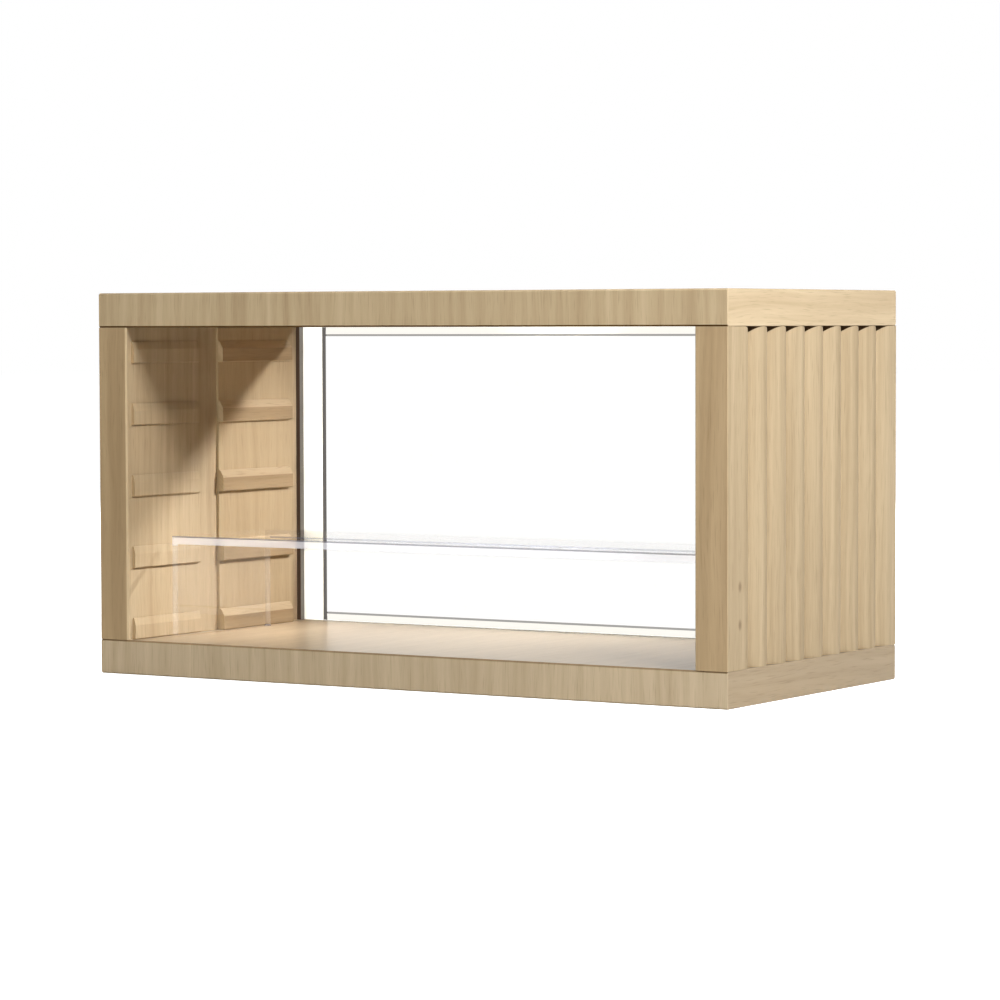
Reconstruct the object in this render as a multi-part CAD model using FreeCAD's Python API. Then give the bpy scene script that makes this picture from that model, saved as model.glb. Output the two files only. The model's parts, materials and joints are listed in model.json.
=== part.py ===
"""Lit display box for small figures: a reeded oak case with an open front, ledges on the inner
walls, a luminous back and a clear bridge that stands on the floor. Millimetres, +Z up.
The origin is the middle of the base, X runs across the opening and Y from the opening to the rear."""
import FreeCAD, Part
import math
import os

Vec = FreeCAD.Vector
AXIS_X = Vec(1, 0, 0)
AXIS_Y = Vec(0, 1, 0)
AXIS_Z = Vec(0, 0, 1)
ORIGIN = Vec(0, 0, 0)

# Case
box_width = 376.0
box_depth = 180.0
box_height = 200.0
board = 18.0
edge_ease = 0.8
corner_ease = 0.3

# Reeds on the outer face of each side
reed_pitch = 19.6
reed_depth = 4.0
reed_margin = 20.0
reed_shift = 4.7

# Dowels between slabs and sides
dowel_radius = 3.0
dowel_in_slab = 10.0
dowel_in_side = 16.0
dowel_inset = 30.0
dowel_slack = 0.1

# Rebates at the rear and the stack that fills them
side_rebate = 4.0
roof_rebate = 8.0
floor_rebate = 3.0
side_gap = 7.5
roof_gap = 10.0
back_board_thick = 3.0
service_depth = 12.0
cover_thick = 3.0
cover_recess = 0.5
fit = 0.3

# Raised light panel
panel_side_margin = 13.2
panel_land = 0.8
panel_rise = 2.7
panel_bevel = 3.8
panel_groove_width = 1.1
panel_groove_depth = 0.8
seal_width = 3.6

# Ledges on the inner walls
cleat_height = 11.4
cleat_chamfer = 4.0
cleat_lip = 0.8
cleat_ease = 0.5
row_pitch = 37.6
top_row_gap = 7.4
front_cleat_proud = 1.8
front_cleat_start = 4.2
front_cleat_length = 57.5
rear_cleat_proud = 3.1
rear_cleat_length = 65.0
rear_plate_length = 69.5
rear_plate_thick = 1.5
rear_plate_setback = 5.5

# Clear bridge
riser_front = 30.0
riser_depth = 84.0
riser_height = 53.5
riser_thick = 5.0
riser_side_gap = 1.4
riser_polish = 0.8
riser_film = 0.1

# Light bar in the roof rebate
channel_width = 6.0
channel_height = 2.0
channel_wall = 0.6
strip_thick = 0.6
strip_end_gap = 4.0
chip_length = 3.5
chip_width = 2.8
chip_thick = 0.8
chip_pitch = 15.0
clip_length = 6.0
clip_thick = 3.0

# Rear closing
batten_width = 12.0
screw_inset = 20.0
screw_rows = 2
screw_radius = 1.7
screw_head_radius = 3.2
screw_head_depth = 1.8
screw_length = 13.0
screw_tip = 3.0
cross_width = 0.8
cross_depth = 1.1
cross_reach = 1.9

# Driver behind the back board
pcb_width = 56.0
pcb_height = 22.0
pcb_thick = 1.6
pcb_side_gap = 4.0
pcb_base_gap = 22.0
standoff_length = 5.0
standoff_radius = 2.5
standoff_inset = 3.5
pin_radius = 1.2
pin_head_radius = 2.2
pin_head_thick = 1.4
lead_width = 2.8
lead_thick = 1.4
lead_stand = 2.0
lead_bend = 3.8
lead_inset = 10.0
lead_room = 2.0
coil_radius = 4.4
coil_clearance = 1.6
control_chip_width = 6.0
control_chip_thick = 1.6
plug_width = 7.0
plug_height = 5.0

# Power inlet, a standard 8.94 x 3.26 mm shell
inlet_width = 8.94
inlet_height = 3.26
inlet_wall = 0.3
inlet_base = 1.0
inlet_recess = 0.4
inlet_inset = 15.0
tongue_width = 6.7
tongue_thick = 0.7
tongue_recess = 1.0
inlet_gap = 0.35

# Push switch
button_radius = 4.0
button_flange = 1.0
button_flange_lip = 1.4
button_proud = 0.4
button_travel = 1.0
button_dish = 0.5
button_edge = 0.6
button_inset = 34.0
button_gap = 0.3
switch_width = 6.0
switch_height = 2.5
plunger_radius = 1.6
plunger_seat = 0.4

# Margin by which a cutter passes through a face, and the tolerance for finding edges
cut_over = 1.0
hair = 1e-4

# Planes that the pieces share
x_side = box_width / 2
x_in = x_side - board
x_rebate = x_in + side_rebate
y_front = -box_depth / 2
y_rear = box_depth / 2
z_floor = board
z_roof = box_height - board
z_rebate_floor = z_floor - floor_rebate
z_rebate_roof = z_roof + roof_rebate
y_cover_out = y_rear - cover_recess
y_cover_in = y_cover_out - cover_thick
y_board_rear = y_cover_in - service_depth
y_board = y_board_rear - back_board_thick
y_side_shoulder = y_board - side_gap
y_roof_shoulder = y_board - roof_gap
x_cleat = x_in - rear_plate_thick - rear_cleat_proud
x_stack = x_rebate - fit
z_stack = (z_rebate_floor + fit, z_rebate_roof - fit)
x_batten = x_stack - batten_width
y_pcb_rear = y_cover_in - standoff_length
y_pcb = y_pcb_rear - pcb_thick
x_pcb = (x_batten - pcb_side_gap - pcb_width, x_batten - pcb_side_gap)
z_pcb = (z_floor + pcb_base_gap, z_floor + pcb_base_gap + pcb_height)
z_pcb_mid = (z_pcb[0] + z_pcb[1]) / 2
x_lead = x_pcb[1] - lead_inset
y_lead = y_board_rear + lead_stand
y_channel = (y_board - fit - channel_width, y_board - fit)
z_strip = z_rebate_roof - channel_wall
x_strip = (strip_end_gap - x_in, x_lead - clip_length / 2)


def block(x, y, z):
    """A box between three pairs of limits."""
    return Part.makeBox(x[1] - x[0], y[1] - y[0], z[1] - z[0], Vec(x[0], y[0], z[0]))


def both_sides(limit):
    """Limits that are the same distance to the left and right of the middle."""
    return (-limit, limit)


def to_left(shape):
    """The left-hand twin of a right-hand piece."""
    return shape.mirror(ORIGIN, AXIS_X)


def prism(points, along):
    """A straight-sided outline pushed along a vector."""
    outline = Part.makePolygon(points + points[:1])
    return Part.Face(outline).extrude(along)


def turned(profile, base):
    """A profile of (radius, distance behind base) pairs turned about an axis along -Y."""
    points = [Vec(base.x + radius, base.y - back, base.z) for radius, back in profile]
    outline = Part.makePolygon(points + points[:1])
    return Part.Face(outline).revolve(base, AXIS_Y, 360)


def stadium(width, height, centre, length):
    """A round-ended bar along +Y, its near end centred on a point."""
    radius = height / 2
    half = width / 2 - radius
    left_top = centre + Vec(-half, 0, radius)
    right_top = centre + Vec(half, 0, radius)
    right_base = centre + Vec(half, 0, -radius)
    left_base = centre + Vec(-half, 0, -radius)
    edges = [
        Part.makeLine(left_top, right_top),
        Part.Arc(right_top, centre + Vec(half + radius, 0, 0), right_base).toShape(),
        Part.makeLine(right_base, left_base),
        Part.Arc(left_base, centre + Vec(-half - radius, 0, 0), left_top).toShape(),
    ]
    return Part.Face(Part.Wire(edges)).extrude(AXIS_Y * length)


def edges_across(shape, y):
    """The edges of a shape that lie in one plane across Y."""
    return [edge for edge in shape.Edges if abs(edge.BoundBox.YMin - y) + abs(edge.BoundBox.YMax - y) < hair]


def is_upright(edge):
    return edge.BoundBox.XLength < hair and edge.BoundBox.ZLength > hair


def save(node, *solids):
    """Write one node, as one solid or as a group of separate solids."""
    shape = solids[0] if len(solids) == 1 else Part.makeCompound(list(solids))
    shape.exportStep("parts/%s.step" % node)


def dowel_points():
    """Where the dowels stand, seen from above."""
    x = x_in + (board - reed_depth) / 2
    rows = (y_front + dowel_inset, y_side_shoulder - dowel_inset)
    return [(side * x, y) for side in (-1, 1) for y in rows]


def dowel_holes(z, reach):
    """Holes that open at height z; a positive reach goes up."""
    low = min(z, z + reach)
    radius = dowel_radius + dowel_slack
    return [Part.makeCylinder(radius, abs(reach), Vec(x, y, low)) for x, y in dowel_points()]


def carcass_dowels():
    dowels = []
    for x, y in dowel_points():
        length = dowel_in_slab + dowel_in_side
        dowels.append(Part.makeCylinder(dowel_radius, length, Vec(x, y, z_floor - dowel_in_slab)))
        dowels.append(Part.makeCylinder(dowel_radius, length, Vec(x, y, z_roof - dowel_in_side)))
    return dowels


def slab(z):
    """A plain case slab: long edges eased, edges round the ends only just broken."""
    solid = block(both_sides(x_side), (y_front, y_rear), z)
    solid = solid.makeChamfer(edge_ease, [edge for edge in solid.Edges if edge.BoundBox.XLength > hair])
    return solid.makeChamfer(corner_ease, [edge for edge in solid.Edges if edge.BoundBox.XLength < hair])


def top_panel():
    solid = slab((z_roof, box_height))
    rebate_x = both_sides(x_rebate)
    rebate = block(rebate_x, (y_roof_shoulder, y_rear + cut_over), (z_roof - cut_over, z_rebate_roof))
    return solid.cut([rebate] + dowel_holes(z_roof, dowel_in_slab + dowel_slack))


def bottom_panel():
    solid = slab((0, board))
    rebate_x = both_sides(x_rebate)
    rebate = block(rebate_x, (y_board - fit, y_rear + cut_over), (z_rebate_floor, z_floor + cut_over))
    return solid.cut([rebate] + dowel_holes(z_floor, -dowel_in_slab - dowel_slack))


def reeded_edges():
    """The outer face seen from above: flat margin, half reed, whole reeds, half reed, flat margin.
    The reeds sit a little behind the middle."""
    count = int((box_depth - 2 * reed_margin) // reed_pitch)
    half = reed_pitch / 2
    radius = (half ** 2 + reed_depth ** 2) / (2 * reed_depth)
    half_angle = math.asin(half / radius)

    def on_reed(centre_y, angle):
        return Vec(x_side - radius + radius * math.cos(angle), centre_y + radius * math.sin(angle), z_floor)

    first = reed_shift - reed_pitch * (count + 1) / 2
    centres = [first + reed_pitch * index for index in range(count + 2)]
    edges = [Part.makeLine(Vec(x_side, y_front, z_floor), on_reed(centres[0], 0))]
    for index, centre_y in enumerate(centres):
        start = 0 if index == 0 else -half_angle
        end = 0 if index == count + 1 else half_angle
        points = [on_reed(centre_y, angle) for angle in (start, (start + end) / 2, end)]
        edges.append(Part.Arc(*points).toShape())
    edges.append(Part.makeLine(on_reed(centres[-1], 0), Vec(x_side, y_rear, z_floor)))
    return edges


def right_side_panel():
    corners = [
        Vec(x_side, y_rear, z_floor),
        Vec(x_rebate, y_rear, z_floor),
        Vec(x_rebate, y_side_shoulder, z_floor),
        Vec(x_in, y_side_shoulder, z_floor),
        Vec(x_in, y_front, z_floor),
        Vec(x_side, y_front, z_floor),
    ]
    plain = [Part.makeLine(start, end) for start, end in zip(corners, corners[1:])]
    outline = Part.Wire(Part.__sortEdges__(reeded_edges() + plain))
    solid = Part.Face(outline).extrude(AXIS_Z * (z_roof - z_floor))
    for x, ease in ((x_in, edge_ease), (x_side, corner_ease)):
        uprights = filter(is_upright, edges_across(solid, y_front))
        solid = solid.makeChamfer(ease, [edge for edge in uprights if abs(edge.BoundBox.XMin - x) < hair])
    holes = dowel_holes(z_floor, dowel_in_side + dowel_slack)
    holes += dowel_holes(z_roof, -dowel_in_side - dowel_slack)
    return solid.cut(holes)


def cleat_tops():
    """Heights of the ledges: rows at one pitch up from the floor, then one close under the roof."""
    top_row = z_roof - top_row_gap
    first = z_floor + cleat_height
    count = int((top_row - cleat_height - first) // row_pitch) + 1
    return [first + row_pitch * index for index in range(count)] + [top_row]


def cleats(x_back, proud, y_start, length):
    """A column of right-hand ledges with a chamfered upper edge, standing proud of x_back."""
    x_face = x_back - proud
    column = []
    for top in cleat_tops():
        outline = [
            Vec(x_back, y_start, top),
            Vec(x_back - cleat_lip, y_start, top),
            Vec(x_face, y_start, top - cleat_chamfer),
            Vec(x_face, y_start, top - cleat_height + cleat_ease),
            Vec(x_face + cleat_ease, y_start, top - cleat_height),
            Vec(x_back, y_start, top - cleat_height),
        ]
        column.append(prism(outline, AXIS_Y * length))
    return column


y_plate = (y_side_shoulder - rear_plate_setback - rear_plate_length, y_side_shoulder - rear_plate_setback)


def right_rear_plate():
    return block((x_in - rear_plate_thick, x_in), y_plate, (z_floor, z_roof - fit))


def back_board():
    """White board in the rebates, notched at the top where the lead comes through."""
    solid = block(both_sides(x_stack), (y_board, y_board_rear), z_stack)
    half_notch = lead_width / 2 + lead_room
    low = z_strip - clip_thick - lead_bend
    notch_x = (x_lead - half_notch, x_lead + half_notch)
    notch_y = (y_board - cut_over, y_board_rear + cut_over)
    return solid.cut(block(notch_x, notch_y, (low, z_stack[1] + cut_over)))


def panel_groove(x_face, y_face, z_middle):
    """Cutter for a V groove across the panel's face."""
    spread = panel_groove_width / 2 / panel_groove_depth
    half = spread * (panel_groove_depth + cut_over)
    outline = [
        Vec(-x_face, y_face + panel_groove_depth, z_middle),
        Vec(-x_face, y_face - cut_over, z_middle + half),
        Vec(-x_face, y_face - cut_over, z_middle - half),
    ]
    return prism(outline, AXIS_X * (2 * x_face))


def light_panel():
    """Raised white panel: a thin land all round, a bevel up to the flat face, a groove above and below."""
    x_edge = x_in - panel_side_margin
    sections = []
    for rise, inset in ((0, 0), (panel_land, 0), (panel_land + panel_rise, panel_bevel)):
        x = x_edge - inset
        low = z_floor + fit + inset
        high = z_roof - fit - inset
        y = y_board - rise
        corners = [Vec(-x, y, low), Vec(x, y, low), Vec(x, y, high), Vec(-x, y, high)]
        sections.append(Part.makePolygon(corners + corners[:1]))
    raised = Part.makeLoft(sections, True, True)
    middles = (low + panel_groove_width / 2, high - panel_groove_width / 2)
    return raised.cut([panel_groove(x, y, middle) for middle in middles])


def right_light_seal():
    return block((x_in + fit, x_rebate), (y_board - seal_width, y_board), (z_floor, z_roof))


def clear_riser():
    """Three sheets welded into one piece: two legs and a deck, with polished rims."""
    half = x_cleat - riser_side_gap
    low = z_floor + riser_film
    high = z_floor + riser_height
    y = y_front + riser_front
    x_inner = half - riser_thick
    z_inner = high - riser_thick
    profile = [(-half, low), (-half, high), (half, high), (half, low),
               (x_inner, low), (x_inner, z_inner), (-x_inner, z_inner), (-x_inner, low)]
    solid = prism([Vec(x, y, z) for x, z in profile], AXIS_Y * riser_depth)
    rims = edges_across(solid, y) + edges_across(solid, y + riser_depth)
    return solid.makeChamfer(riser_polish, rims)


def led_channel():
    """Shallow aluminium trough, open downwards."""
    low = z_rebate_roof - channel_height
    body = block(x_strip, y_channel, (low, z_rebate_roof))
    inner_y = (y_channel[0] + channel_wall, y_channel[1] - channel_wall)
    inner_x = (x_strip[0] - cut_over, x_strip[1] + cut_over)
    return body.cut(block(inner_x, inner_y, (low - cut_over, z_strip)))


def led_strip():
    inner_y = (y_channel[0] + channel_wall + fit, y_channel[1] - channel_wall - fit)
    return block(x_strip, inner_y, (z_strip - strip_thick, z_strip))


def led_chips():
    count = int((x_strip[1] - x_strip[0]) // chip_pitch)
    middle_x = (x_strip[0] + x_strip[1]) / 2
    middle_y = (y_channel[0] + y_channel[1]) / 2
    top = z_strip - strip_thick
    chips = []
    for index in range(count):
        x = middle_x + (index - (count - 1) / 2) * chip_pitch
        x_limits = (x - chip_length / 2, x + chip_length / 2)
        y_limits = (middle_y - chip_width / 2, middle_y + chip_width / 2)
        chips.append(block(x_limits, y_limits, (top - chip_thick, top)))
    return chips


def strip_connector():
    """Clip on the strip's end, where the lead arrives."""
    return block((x_strip[1], x_strip[1] + clip_length), y_channel, (z_strip - clip_thick, z_strip))


def led_lead():
    """Flat two-core lead: up from the driver's plug, round one bend and into the strip's clip."""
    z_clip = z_strip - clip_thick / 2
    bottom = Vec(x_lead, y_lead, z_pcb_mid + plug_height / 2)
    bend_start = Vec(x_lead, y_lead, z_clip - lead_bend)
    centre = Vec(x_lead, y_lead - lead_bend, z_clip - lead_bend)
    bend_middle = centre + (AXIS_Y + AXIS_Z) * (lead_bend * math.sqrt(0.5))
    bend_end = centre + AXIS_Z * lead_bend
    clip_face = Vec(x_lead, y_channel[1], z_clip)
    path = Part.Wire([
        Part.makeLine(bottom, bend_start),
        Part.Arc(bend_start, bend_middle, bend_end).toShape(),
        Part.makeLine(bend_end, clip_face),
    ])
    half_width = lead_width / 2
    half_thick = lead_thick / 2
    signs = ((-1, -1), (1, -1), (1, 1), (-1, 1))
    corners = [bottom + Vec(across * half_width, through * half_thick, 0) for across, through in signs]
    section = Part.makePolygon(corners + corners[:1])
    return path.makePipeShell([section], True, False)


def lead_connector():
    x = (x_lead - plug_width / 2, x_lead + plug_width / 2)
    z = (z_pcb_mid - plug_height / 2, z_pcb_mid + plug_height / 2)
    return block(x, (y_board_rear + fit, y_pcb), z)


def cover_screw_points():
    """Screw positions on the outer face of the rear cover."""
    x = x_batten + batten_width / 2
    low = z_stack[0] + screw_inset
    step = (z_stack[1] - z_stack[0] - 2 * screw_inset) / (screw_rows - 1)
    heights = [low + step * row for row in range(screw_rows)]
    return [Vec(side * x, y_cover_out, z) for side in (-1, 1) for z in heights]


def countersink(point, slack):
    """Countersunk screw, or with slack the hole that it goes into."""
    head = screw_head_radius + slack
    shank = screw_radius + slack
    end = screw_length + slack
    profile = [(0, 0), (head, 0), (shank, screw_head_depth), (shank, end - screw_tip), (0, end)]
    return turned(profile, point)


def cover_screws():
    screws = []
    for point in cover_screw_points():
        y = (point.y - cross_depth, point.y + cut_over)
        across = (point.x - cross_reach, point.x + cross_reach)
        upright = (point.z - cross_reach, point.z + cross_reach)
        thin_x = (point.x - cross_width / 2, point.x + cross_width / 2)
        thin_z = (point.z - cross_width / 2, point.z + cross_width / 2)
        cross = [block(across, y, thin_z), block(thin_x, y, upright)]
        screws.append(countersink(point, 0).cut(cross))
    return screws


def right_rear_batten():
    solid = block((x_batten, x_stack), (y_board_rear, y_cover_in), z_stack)
    return solid.cut([countersink(point, dowel_slack) for point in cover_screw_points()])


def inlet_point():
    """Middle of the inlet on the driver board's rear face."""
    return Vec(x_pcb[0] + inlet_inset, y_pcb_rear, z_pcb_mid)


def button_point():
    """Middle of the push switch on the driver board's rear face."""
    return Vec(x_pcb[0] + button_inset, y_pcb_rear, z_pcb_mid)


def rear_cover():
    solid = block(both_sides(x_stack), (y_cover_in, y_cover_out), z_stack)
    cuts = [countersink(point, dowel_slack) for point in cover_screw_points()]
    mouth = inlet_point()
    mouth.y = y_cover_in - cut_over
    through = cover_thick + 2 * cut_over
    cuts.append(stadium(inlet_width + 2 * inlet_gap, inlet_height + 2 * inlet_gap, mouth, through))
    hole = button_point()
    hole.y = y_cover_in - cut_over
    cuts.append(Part.makeCylinder(button_radius + button_gap, through, hole, AXIS_Y))
    return solid.cut(cuts)


def standoff_points():
    """The two opposite corners of the driver board that are fixed, on its rear face."""
    low = Vec(x_pcb[0] + standoff_inset, y_pcb_rear, z_pcb[0] + standoff_inset)
    high = Vec(x_pcb[1] - standoff_inset, y_pcb_rear, z_pcb[1] - standoff_inset)
    return [low, high]


def board_standoffs():
    """Six-sided spacers between the driver board and the rear cover."""
    spacers = []
    for point in standoff_points():
        turns = [math.radians(60 * side) for side in range(6)]
        outline = [point + Vec(math.cos(turn), 0, math.sin(turn)) * standoff_radius for turn in turns]
        bore = Part.makeCylinder(pin_radius + dowel_slack, standoff_length, point, AXIS_Y)
        spacers.append(prism(outline, AXIS_Y * standoff_length).cut(bore))
    return spacers


def driver_board():
    solid = block(x_pcb, (y_pcb, y_pcb_rear), z_pcb)
    holes = []
    for point in standoff_points():
        start = Vec(point.x, y_pcb - cut_over, point.z)
        holes.append(Part.makeCylinder(pin_radius + dowel_slack, pcb_thick + 2 * cut_over, start, AXIS_Y))
    return solid.cut(holes)


def board_screws():
    """Pan heads on the driver board's front face, shanks in the spacers."""
    pins = []
    for point in standoff_points():
        face = Vec(point.x, y_pcb, point.z)
        shank = pcb_thick + standoff_length - fit
        profile = [(0, pin_head_thick), (pin_head_radius, pin_head_thick), (pin_head_radius, 0),
                   (pin_radius, 0), (pin_radius, -shank), (0, -shank)]
        pins.append(turned(profile, face))
    return pins


def driver_components():
    """Coil and control chip on the front face of the driver board."""
    y_coil = y_board_rear + coil_clearance
    coil_base = Vec(inlet_point().x, y_coil, z_pcb_mid)
    coil = Part.makeCylinder(coil_radius, y_pcb - y_coil, coil_base, AXIS_Y)
    chip_x = button_point().x
    half = control_chip_width / 2
    chip_z = (z_pcb_mid - half, z_pcb_mid + half)
    chip = block((chip_x - half, chip_x + half), (y_pcb - control_chip_thick, y_pcb), chip_z)
    return [coil, chip]


def power_inlet_shell():
    """Round-ended metal shell, closed at the board and open at the cover."""
    start = inlet_point()
    length = y_cover_out - inlet_recess - y_pcb_rear
    shell = stadium(inlet_width, inlet_height, start, length)
    mouth = start + AXIS_Y * inlet_base
    bore_width = inlet_width - 2 * inlet_wall
    bore_height = inlet_height - 2 * inlet_wall
    return shell.cut(stadium(bore_width, bore_height, mouth, length))


def power_inlet_tongue():
    start = inlet_point() + AXIS_Y * inlet_base
    end = y_cover_out - inlet_recess - tongue_recess
    x = (start.x - tongue_width / 2, start.x + tongue_width / 2)
    z = (start.z - tongue_thick / 2, start.z + tongue_thick / 2)
    return block(x, (start.y, end), z)


def switch_body():
    base = button_point()
    half = switch_width / 2
    z = (base.z - half, base.z + half)
    solid = block((base.x - half, base.x + half), (base.y, base.y + switch_height), z)
    seat = base + AXIS_Y * plunger_seat
    return solid.cut(Part.makeCylinder(plunger_radius + button_gap, switch_height, seat, AXIS_Y))


y_flange = y_cover_in - fit


def switch_plunger():
    """Pin that the cap pushes into the switch."""
    base = button_point() + AXIS_Y * (plunger_seat + button_travel + fit)
    length = y_flange - button_flange - base.y
    return Part.makeCylinder(plunger_radius, length, base, AXIS_Y)


def power_button():
    """Cap with a dished face, kept in the cover by its flange."""
    face = button_point()
    face.y = y_cover_out + button_proud
    shoulder = face.y - y_flange
    rim = button_radius - button_edge
    profile = [(0, button_dish), (rim, 0), (button_radius, button_edge), (button_radius, shoulder),
               (button_radius + button_flange_lip, shoulder),
               (button_radius + button_flange_lip, shoulder + button_flange), (0, shoulder + button_flange)]
    return turned(profile, face)


def build():
    os.makedirs("parts", exist_ok=True)
    save("top_panel", top_panel())
    save("bottom_panel", bottom_panel())
    save("carcass_dowels", *carcass_dowels())
    y_front_cleat = y_front + front_cleat_start
    paired = {
        "side_panel": [right_side_panel()],
        "front_cleats": cleats(x_in, front_cleat_proud, y_front_cleat, front_cleat_length),
        "rear_plate": [right_rear_plate()],
        "rear_cleats": cleats(x_in - rear_plate_thick, rear_cleat_proud, y_plate[0], rear_cleat_length),
        "light_seal": [right_light_seal()],
        "rear_batten": [right_rear_batten()],
    }
    for name, solids in paired.items():
        save("right_" + name, *solids)
        save("left_" + name, *[to_left(solid) for solid in solids])
    save("back_board", back_board())
    save("light_panel", light_panel())
    save("clear_riser", clear_riser())
    save("led_channel", led_channel())
    save("led_strip", led_strip())
    save("led_chips", *led_chips())
    save("strip_connector", strip_connector())
    save("led_lead", led_lead())
    save("lead_connector", lead_connector())
    save("rear_cover", rear_cover())
    save("cover_screws", *cover_screws())
    save("board_standoffs", *board_standoffs())
    save("driver_board", driver_board())
    save("board_screws", *board_screws())
    save("driver_components", *driver_components())
    save("power_inlet_shell", power_inlet_shell())
    save("power_inlet_tongue", power_inlet_tongue())
    save("switch_body", switch_body())
    save("switch_plunger", switch_plunger())
    save("power_button", power_button())


build()
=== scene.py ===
import json
import math
import bpy
from mathutils import Matrix, Vector


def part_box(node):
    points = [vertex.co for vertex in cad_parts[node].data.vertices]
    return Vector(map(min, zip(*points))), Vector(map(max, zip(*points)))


# Looks of a lit display box for small figures: a reeded oak case with a luminous white back and a clear bridge.
# Metres, in the frame of the solids: X across the opening, Y from the opening to the rear, Z up from the base.

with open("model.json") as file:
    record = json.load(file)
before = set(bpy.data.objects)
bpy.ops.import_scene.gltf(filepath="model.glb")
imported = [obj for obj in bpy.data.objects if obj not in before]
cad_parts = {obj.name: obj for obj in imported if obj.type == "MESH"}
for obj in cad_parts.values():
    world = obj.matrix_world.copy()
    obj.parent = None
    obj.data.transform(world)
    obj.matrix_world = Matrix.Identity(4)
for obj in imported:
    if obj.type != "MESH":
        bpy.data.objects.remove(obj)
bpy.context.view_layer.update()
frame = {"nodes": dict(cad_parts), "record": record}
nodes = frame["nodes"]
bpy.ops.object.select_all(action="DESELECT")

MM = 0.001
X_AXIS = Vector((1, 0, 0))
Y_AXIS = Vector((0, 1, 0))
Z_AXIS = Vector((0, 0, 1))

# Camera of the photograph: place from the middle of the base, and angles in degrees
CAMERA_PLACE = Vector((1.0379, -1.6495, 0.18385))
CAMERA_AZIMUTH = 32.0724
CAMERA_DOWN = 2.7037
CAMERA_ROLL = -0.1544
CAMERA_LENS = 134.93
CAMERA_SENSOR = 36.0

# Veneer: streak width and length in millimetres, detail, and share of the contrast, from broad bands to fibres
GRAIN = ((45, 260, 2, 0.4), (4.6, 170, 3, 0.9), (0.9, 34, 2, 0.2))
# Pin knots on the outer face of the right side, as places in millimetres
PIN_KNOTS = ((188, -77.9, 57.8), (188, -77.9, 39.6))
# How much of each relief in the materials shows
RELIEF = 0.6
# Spacing of the lamps on the light strip
CHIP_PITCH = 15 * MM
# The light panel: width of its grey ends beside the flat face and at its corners, and width of its bevel
PANEL_END = 4.3 * MM
PANEL_CORNER = 2.6 * MM
PANEL_BEVEL = 3.8 * MM
# Thickness of the bridge's deck
DECK_SHEET = 5 * MM
# Dark and light tone of the veneer on the upright sides, their plates, the roof and the floor
SIDE_TONES = ("A88E6C", "D4BB98")
# The plates' tones are a darker, calmer copy of the sides': painted shade against the strip lamp's strong light
PLATE_TONES = ("AC9370", "C4AB88")
# The roof's lighter tones are partly a painted sheen on its ends
ROOF_TONES = ("B89C79", "E4CBA7")
FLOOR_TONES = ("AC9475", "D2BB9C")
# Where a veneer is tinted: the way that its faces look, how closely, and the tint
FRONT = -Y_AXIS
FRONT_TOP = (FRONT + Z_AXIS).normalized()
FRONT_BOTTOM = (FRONT - Z_AXIS).normalized()
NEARLY = 0.8
CLOSELY = 0.9
# Painted shade: the sides' front faces are darker than their other faces
SIDE_TINTS = ((FRONT, NEARLY, "ECE6DF"),)
# Painted shade on the roof's fronts, against its lighter ends, and a painted shadow line on its lower front arris
ROOF_TINTS = ((FRONT, NEARLY, "E8E7E5"), (FRONT_BOTTOM, NEARLY, "86755F"))
# The floor's upper front arris is darker; painted shade on its top face and, a little, on its right end
FLOOR_TINTS = ((FRONT_TOP, NEARLY, "D0C7BA"), (Z_AXIS, NEARLY, "C0BEBC"), (X_AXIS, NEARLY, "F3EEE6"))
# Painted shade on the faces of the rear ledges, against their lighter bevels
LEDGE_FACE_SHADE = "DED8D0"
# Painted shadow of the roof in the groove ends: how far down it reaches for each millimetre of depth,
# the grooves' greatest depth, and how far the grooves reach to the front and the rear
EAVES_SLOPE = 0.8
EAVES_DEPTH = 9 * MM
REEDS_HALF = 84 * MM
# Where each board's veneer starts on one endless sheet, and how much further on the right side's starts than the
# left side's
ROOF_CUT = 0
FLOOR_CUT = 3.7
SIDE_CUT = 11
PLATE_CUT = 23
LEDGE_CUT = 31
COVER_CUT = 41
RIGHT_CUT = 5.3
# Strength of the glows: the wash on the board, the painted glow of the foam, the panel as a lamp, the windows of
# the strip's lamps, the painted glow of the deck's front edge, and the white surroundings as a lamp
BOARD_WASH = 0.9
FOAM_PAINTED_GLOW = 0.9
PANEL_LAMP = 0.02
CHIP_GLOW = 3.0
LIP_GLOW = 0.25
SKY_LAMP = 0.01
# Clear acrylic: refractive index, the share of its mirror image that the wipe marks leave, and how milky it is at cut
# edges, along the front of the deck and along the deck's rim
ACRYLIC_INDEX = 1.49
ACRYLIC_MIRROR = 0.5
CUT_HAZE = 0.16
LIP_HAZE = 0.5
RIM_HAZE = 0.6
# Lamps: place, target, width and depth in metres, watts, and colour. First the studio's, in order from key to fill.
STUDIO_LAMPS = {
    "key": ((0.9, -0.5, 0.8), (0, 0, 0.1), 0.2, 0.2, 8.8, "E9F3FF"),
    "right_key": ((0.9, -0.3, 0.8), (0, 0, 0.1), 0.2, 0.2, 6.2, "E9F3FF"),
    "side_fill": ((0.9, 0.15, 0.8), (0, 0, 0.1), 0.3, 0.3, 2.1, "E9F3FF"),
    "low_fill": ((0, -1.7, 0.15), (0, 0, 0.05), 0.6, 0.2, 11.8, "F8FFFF"),
    "rear_fill": ((-0.9, 1.4, 0.8), (0, 0, 0.1), 0.8, 0.8, 24, "F0F6FF"),
    "left_fill": ((-1.2, 0.2, 0.5), (0, 0, 0.1), 0.6, 0.6, 6, "F0F6FF"),
}
# The strip's lamp hangs just under the strip and leans to the front, by a share of how far it shines down
STRIP_GAP = 0.65 * MM
STRIP_LEAN = 0.3
STRIP_LAMP = (60 * MM, 1.5 * MM, 1.15, "E2EEFF")
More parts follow.
